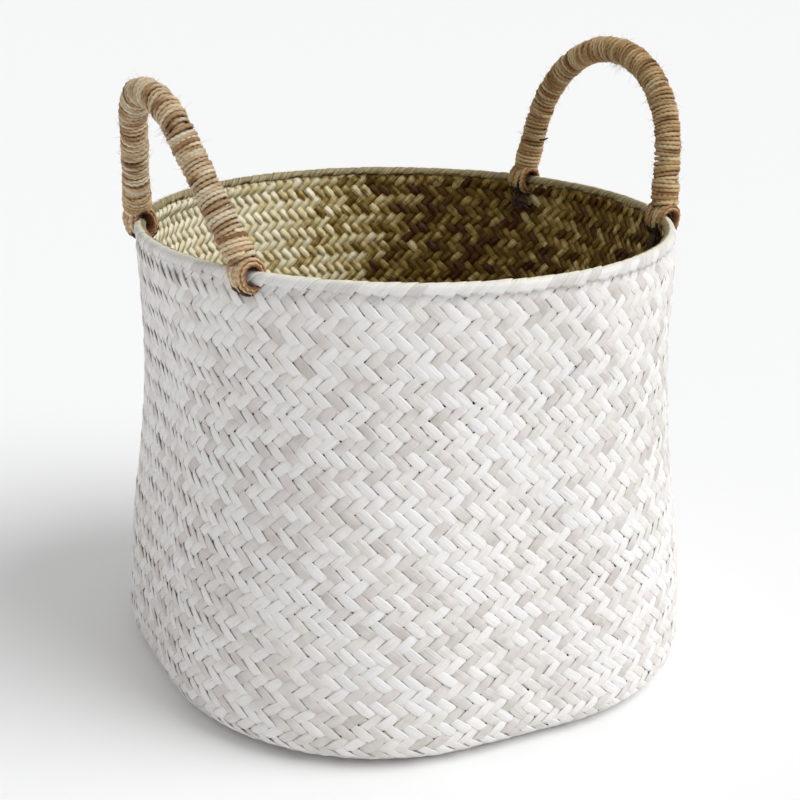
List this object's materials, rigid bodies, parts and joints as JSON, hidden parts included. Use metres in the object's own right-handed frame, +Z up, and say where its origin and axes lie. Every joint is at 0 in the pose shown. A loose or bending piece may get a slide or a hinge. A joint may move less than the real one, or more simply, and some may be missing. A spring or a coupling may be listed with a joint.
{
  "type": "storage basket",
  "caption": "Round plaited seagrass storage basket on a soft square base, white outside and natural inside, with a folded rim and twine-wrapped arched handles.",
  "frame": {"origin": "centre of the flat underside", "axes": "+Z up through the mouth; the handles stand towards -X and +X, turned 6 degrees about +Z from the base's square sides"},
  "size_m": [0.381, 0.379, 0.4197],
  "materials": {
    "painted_seagrass": "matte",
    "natural_seagrass": "matte",
    "rim_seagrass": "matte",
    "rim_cord": "matte",
    "jute_twine": "matte",
    "dark_twine": "matte",
    "cane": "matte"
  },
  "bodies": {
    "basket": {"outer_weave": "painted_seagrass", "inner_weave": "natural_seagrass", "rim_core": "rim_cord", "rim_fold": "rim_seagrass", "left_front_knot": "dark_twine", "left_rear_knot": "dark_twine", "right_front_knot": "dark_twine", "right_rear_knot": "dark_twine"},
    "left_handle": {"left_handle_core": "cane", "left_handle_wrap": "jute_twine", "left_front_eye": "dark_twine", "left_rear_eye": "dark_twine", "left_front_whipping": "jute_twine", "left_rear_whipping": "jute_twine"},
    "right_handle": {"right_handle_core": "cane", "right_handle_wrap": "jute_twine", "right_front_eye": "dark_twine", "right_rear_eye": "dark_twine", "right_front_whipping": "jute_twine", "right_rear_whipping": "jute_twine"}
  },
  "joints": [
    {"name": "left_handle_swing", "type": "hinge", "parent": "basket", "child": "left_handle", "pos_m": [-0.15773, -0.01658, 0.305], "axis": [0.1045, -0.9945, 0], "range_deg": [-99, 61]},
    {"name": "right_handle_swing", "type": "hinge", "parent": "basket", "child": "right_handle", "pos_m": [0.15773, 0.01658, 0.305], "axis": [-0.1045, 0.9945, 0], "range_deg": [-93, 67]}
  ]
}
